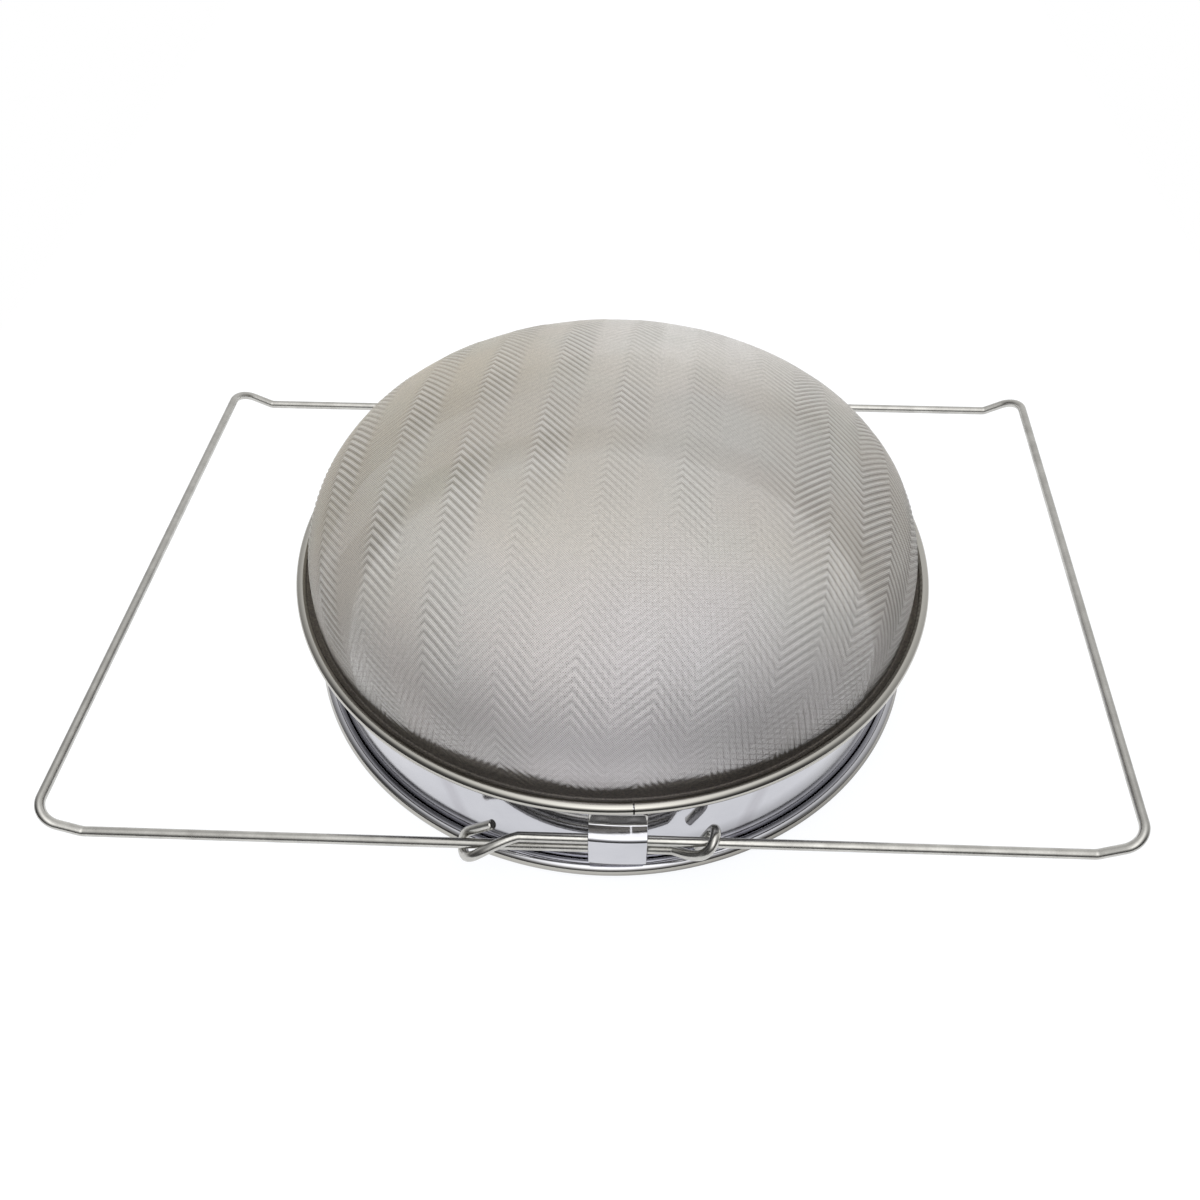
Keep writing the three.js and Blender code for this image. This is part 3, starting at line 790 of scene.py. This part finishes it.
# ---------------------------------------------------------------- clamps
def clamp_strap(name, side, finish):
    """A hat-shaped strap with both flanges spot-welded to the wall."""
    half = CLAMP_SHEET / 2
    flange = CLAMP_SEAT_R + GAP + half
    low, high, out = CLAMP_SLOT[0] - half, CLAMP_SLOT[1] + half, CLAMP_SLOT[2] + half
    corners = [(flange, low - CLAMP_FLANGE[0]), (flange, low), (out, low)]
    corners += [(out, high), (flange, high + CLAMP_TOP_RISE), (flange, high + CLAMP_FLANGE[1])]
    bends = rounded(corners, [CLAMP_BEND_R, CLAMP_BEND_R, CLAMP_TOP_BEND_R, CLAMP_BEND_R], 10)
    middle = [bends[0]]
    for here in bends[1:]:
        pieces = max(1, int(np.linalg.norm(here - middle[-1]) / 0.8))
        middle += [middle[-1] + (here - middle[-1]) * k / pieces for k in range(1, pieces + 1)]
    middle = np.array(middle)
    steps = np.diff(middle, axis=0)
    steps /= np.linalg.norm(steps, axis=1)[:, None]
    along = np.vstack([steps[:1], steps[:-1] + steps[1:], steps[-1:]])
    along /= np.linalg.norm(along, axis=1)[:, None]
    normal = np.stack([along[:, 1], -along[:, 0]], 1)
    run = np.concatenate([[0], np.cumsum(np.linalg.norm(np.diff(middle, axis=0), axis=1))])
    from_end = np.minimum(run, run[-1] - run)
    corner, soft = CLAMP_CORNER_R, CLAMP_EDGE
    rise = np.sqrt(np.maximum(0, corner**2 - (corner - from_end) ** 2))
    cut_back = np.where(from_end < corner, corner - rise, 0)
    across = np.concatenate([[-1.0], np.linspace(-1, 1, 27), [1.0]])
    thin = np.ones(len(across))
    thin[[0, -1]] = 0.6
    widths = CLAMP_WIDTH / 2 - cut_back
    x = across[None, :] * (widths[:, None] - soft)
    x[:, 0] -= soft
    x[:, -1] += soft
    welds = [(wx, wr) for wx in (-WELD_X, WELD_X) for wr in (run[0] + WELD_FROM_END, run[-1] - WELD_FROM_END)]
    dimple = sum(np.exp(-(((x - wx) ** 2 + (run[:, None] - wr) ** 2) / WELD_R**2) ** 2) for wx, wr in welds)

    def face(offset, pressed):
        shift = offset * thin[None, :] - pressed * dimple
        y = middle[:, 0, None] + normal[:, 0, None] * shift - x**2 / (2 * (CLAMP_SEAT_R + GAP))
        z = middle[:, 1, None] + normal[:, 1, None] * shift
        return np.stack([CLAMP_X + x, side * y, z], 2)

    rows, columns = len(middle), len(across)
    points = np.vstack([face(half, WELD_DEPTH).reshape(-1, 3), face(-half, 0.0).reshape(-1, 3)])
    front = grid_faces(rows, columns)
    count = rows * columns
    back = (front + count)[:, ::-1]
    rim = [i * columns for i in range(rows)] + [(rows - 1) * columns + j for j in range(1, columns)]
    rim += [i * columns + columns - 1 for i in range(rows - 2, -1, -1)] + list(range(columns - 2, 0, -1))
    edge = [[a, b, b + count, a + count] for a, b in zip(rim, rim[1:] + rim[:1])]
    faces = [*front.tolist(), *back.tolist(), *[e[::-1] for e in edge]]
    if side > 0:
        faces = [f[::-1] for f in faces]
    node_name = "front_clamp" if side < 0 else "back_clamp"
    flanges = np.repeat(np.clip((flange + 0.6 - middle[:, 0]) / 0.4, 0, 1) * 0.8, columns)
    mesh_piece(
        name, points, faces, finish, node_name, "fine_sieve",
        attributes={"warm": np.concatenate([flanges, flanges])},
    )


# ---------------------------------------------------------------- wire handles
def hook_path(bend_x, away, side, own_z, held_z, turn, reach):
    """The middle of a hook, from the end of its own leg round the other handle's leg to its cut end."""
    share = np.linspace(0, 1, 49)
    angle = np.radians(90 - HOOK_TURN * share**HOOK_EASE)
    closing = np.minimum(1, share / HOOK_CLOSED_BY)
    radius = abs(held_z - own_z) * (1 - closing) + HOOK_LOOP * closing
    along = reach * np.sin(np.radians(HOOK_SWAY * share))
    loop = np.stack(
        [
            bend_x + away * along,
            side * (LEG_Y + radius * np.cos(angle)),
            held_z - turn * radius * np.sin(angle),
        ],
        1,
    )
    tail = (bend_x + away * HOOK_TAIL[0], side * (LEG_Y - HOOK_TAIL[1]), held_z - turn * HOOK_TAIL[2])
    last = loop[-1] + (np.array(tail) - loop[-1]) * np.linspace(0, 1, 5)[1:, None]
    return np.vstack([loop, last])


def eased(path, rounds):
    """Softens small corners of a path without moving its ends."""
    path = np.array(path)
    for _ in range(rounds):
        path[1:-1] = path[1:-1] * 0.5 + (path[:-2] + path[2:]) * 0.25
    return path


def wire_handle(name, node_name, body, bar_x, own_z, held_z, reach, finish):
    """One wire from hook to hook: two legs and an end bar that stands a little higher."""
    away, turn = -math.copysign(1, bar_x), math.copysign(1, held_z - own_z)
    bar_z = own_z + BAR_RISE
    bend_x = bar_x + away * LEG_LENGTH

    def end_x(side):
        return bar_x + BAR_SKEW * side * LEG_Y

    corners = [(bend_x, -LEG_Y, own_z)]
    corners += [(end_x(-1) + away * RISE_RUN, -LEG_Y, own_z), (end_x(-1), -LEG_Y, bar_z)]
    corners += [(end_x(1), LEG_Y, bar_z), (end_x(1) + away * RISE_RUN, LEG_Y, own_z)]
    corners.append((bend_x, LEG_Y, own_z))
    frame_run = rounded(corners, [KINK_R, CORNER_R, CORNER_R, KINK_R], 6)
    hooks = [eased(hook_path(bend_x, away, side, own_z, held_z, turn, reach), 3) for side in (-1, 1)]
    path = np.vstack([hooks[0][::-1][:-1], frame_run, hooks[1][1:]])
    points, faces = swept(path, WIRE_R, WIRE_SIDES, WIRE_SOFT_END)
    mesh_piece(name, points, faces, finish, node_name, body)


# ---------------------------------------------------------------- stage, light and camera
FLOOR_LEFT, FLOOR_RIGHT = -0.34, 0.34
FLOOR_FRONT, FLOOR_BACK = -0.235, 0.9
FLOOR_GLOW = 0.93
FLOOR_GREY = 0.16


def stage():
    """A pale board as the floor, shaded close to the mouth; past its front edge the room is dim."""
    front = [(FLOOR_LEFT, FLOOR_FRONT, 0), (FLOOR_RIGHT, FLOOR_FRONT, 0)]
    rear = [(FLOOR_RIGHT, FLOOR_BACK, 0), (FLOOR_LEFT, FLOOR_BACK, 0)]
    mesh = bpy.data.meshes.new("floor")
    mesh.from_pydata(front + rear, [], [(0, 1, 2, 3)])
    made, tree, shader = material("floor")
    shader.inputs["Base Color"].default_value = grey(FLOOR_GREY)
    shader.inputs["Roughness"].default_value = 0.9
    shader.inputs["Specular IOR Level"].default_value = 0.0
    shader.inputs["Emission Color"].default_value = (0.97, 0.98, 1, 1)
    x, y, _ = node(tree, "ShaderNodeSeparateXYZ", {0: object_point(tree)}).outputs
    near_mouth = spread(tree, from_axis(tree, x, y), 0.118, 0.124, 1.0, 0.0)
    contact = times(tree, near_mouth, spread(tree, x, -0.03, 0.05, 0.15, 0.6))
    reflected = one_minus(tree, node(tree, "ShaderNodeLightPath").outputs["Is Camera Ray"])
    shade = one_minus(tree, times(tree, contact, reflected))
    tree.links.new(times(tree, shade, FLOOR_GLOW), shader.inputs["Emission Strength"])
    mesh.materials.append(made)
    floor = bpy.data.objects.new("floor", mesh)
    floor.location.z = -0.0002
    bpy.context.scene.collection.objects.link(floor)


def soft_lamp(name, place, size, power):
    """A softbox aimed at the strainer that shows in no reflection."""
    lamp = bpy.data.lights.new(name, "AREA")
    lamp.shape, lamp.size, lamp.size_y, lamp.energy = "RECTANGLE", *size, power
    holder = bpy.data.objects.new(name, lamp)
    holder.location = place
    holder.rotation_mode = "QUATERNION"
    holder.rotation_quaternion = (Vector((0, 0, 0.05)) - holder.location).to_track_quat("-Z", "Y")
    holder.visible_glossy = False
    bpy.context.scene.collection.objects.link(holder)


# the room's light, as what it is aimed at, how tight it is and how strong it is
TOP_GLOW, TOP_TIGHTNESS, TOP_STRENGTH = (0.0, -0.17, 0.985), 7.0, 1.4
FRONT_GLOW, FRONT_TIGHTNESS, FRONT_STRENGTH = (0.05, -0.66, 0.75), 14.0, 1.5
BRIGHT_SIDE, ROOM_DIM, ROOM_BRIGHT = (0.2, 0.95, 0.0), 0.06, 0.95
# softboxes: place, size and power
BACK_SOFTBOX = (-0.12, 0.75, 1.2), (0.6, 0.45), 7.85
LEFT_SOFTBOX = (-1.15, -0.05, 0.4), (0.6, 0.6), 4.2


def facing(tree, direction, towards):
    """How nearly a direction points towards another."""
    inputs = {0: direction, 1: towards}
    return node(tree, "ShaderNodeVectorMath", inputs, operation="DOT_PRODUCT").outputs["Value"]


def glow(tree, direction, towards, tightness):
    """A soft round patch of light in the room."""
    away = maths(tree, "SUBTRACT", facing(tree, direction, towards), 1.0)
    return maths(tree, "EXPONENT", times(tree, away, tightness))


def light():
    """A room dim in front and bright behind, with two soft patches overhead and two softboxes."""
    world = bpy.data.worlds.new("studio")
    world.use_nodes = True
    bpy.context.scene.world = world
    tree = world.node_tree
    tree.nodes.clear()
    direction = node(tree, "ShaderNodeTexCoord").outputs["Generated"]
    top = times(tree, glow(tree, direction, TOP_GLOW, TOP_TIGHTNESS), TOP_STRENGTH)
    front = times(tree, glow(tree, direction, FRONT_GLOW, FRONT_TIGHTNESS), FRONT_STRENGTH)
    horizon = spread(tree, facing(tree, direction, BRIGHT_SIDE), -0.3, 1.0, ROOM_DIM, ROOM_BRIGHT)
    strength = plus(tree, plus(tree, front, top), horizon)
    seen = node(tree, "ShaderNodeLightPath").outputs["Is Camera Ray"]
    strength = plus(tree, times(tree, strength, one_minus(tree, seen)), seen)  # plain white if seen directly
    background = node(tree, "ShaderNodeBackground", {"Color": (1, 1, 1, 1), "Strength": strength})
    output = node(tree, "ShaderNodeOutputWorld")
    tree.links.new(background.outputs[0], output.inputs[0])

    soft_lamp("softbox", *BACK_SOFTBOX)
    soft_lamp("side_softbox", *LEFT_SOFTBOX)
    bpy.context.scene.view_settings.view_transform = "Standard"


CAMERA_AZIMUTH, CAMERA_ELEVATION = math.radians(2), math.radians(47.5)
CAMERA_DISTANCE = 0.45
CAMERA_TARGET_Z, CAMERA_SHIFT = 0.0145, 0.00469
CAMERA_LENS, CAMERA_SENSOR = 33.13, 36


def camera():
    """Looks down at the strainer from the front."""
    across, along = math.sin(CAMERA_AZIMUTH), math.cos(CAMERA_AZIMUTH)
    level = math.cos(CAMERA_ELEVATION)
    back = Vector((across * level, -along * level, math.sin(CAMERA_ELEVATION)))
    right = Vector((along, across, 0))
    target = Vector((0, 0, CAMERA_TARGET_Z)) - right * CAMERA_SHIFT
    data = bpy.data.cameras.new("camera")
    data.lens, data.sensor_width = CAMERA_LENS, CAMERA_SENSOR
    holder = bpy.data.objects.new("camera", data)
    holder.location = target + back * CAMERA_DISTANCE
    holder.rotation_mode = "QUATERNION"
    holder.rotation_quaternion = (-back).to_track_quat("-Z", "Y")
    bpy.context.scene.collection.objects.link(holder)
    bpy.context.scene.camera = holder


camera()
light()
stage()
polished, wire, fine, coarse = polished_steel(), wire_steel(), fine_mesh(), coarse_mesh()
coarse_band(polished)
coarse_hoop(wire)
coarse_weave(coarse)
fine_wall(polished)
crimp_ring(polished)
fine_screen(fine)
clamp_strap("front_clamp_strap", -1, polished)
clamp_strap("back_clamp_strap", 1, polished)
wire_handle(
    "left_wire", "left_handle", "left_frame", LEFT_BAR_X, LOW_WIRE_Z, HIGH_WIRE_Z, LEFT_HOOK_REACH, wire
)
wire_handle(
    "right_wire", "right_handle", "right_frame", RIGHT_BAR_X, HIGH_WIRE_Z, LOW_WIRE_Z, RIGHT_HOOK_REACH, wire
)
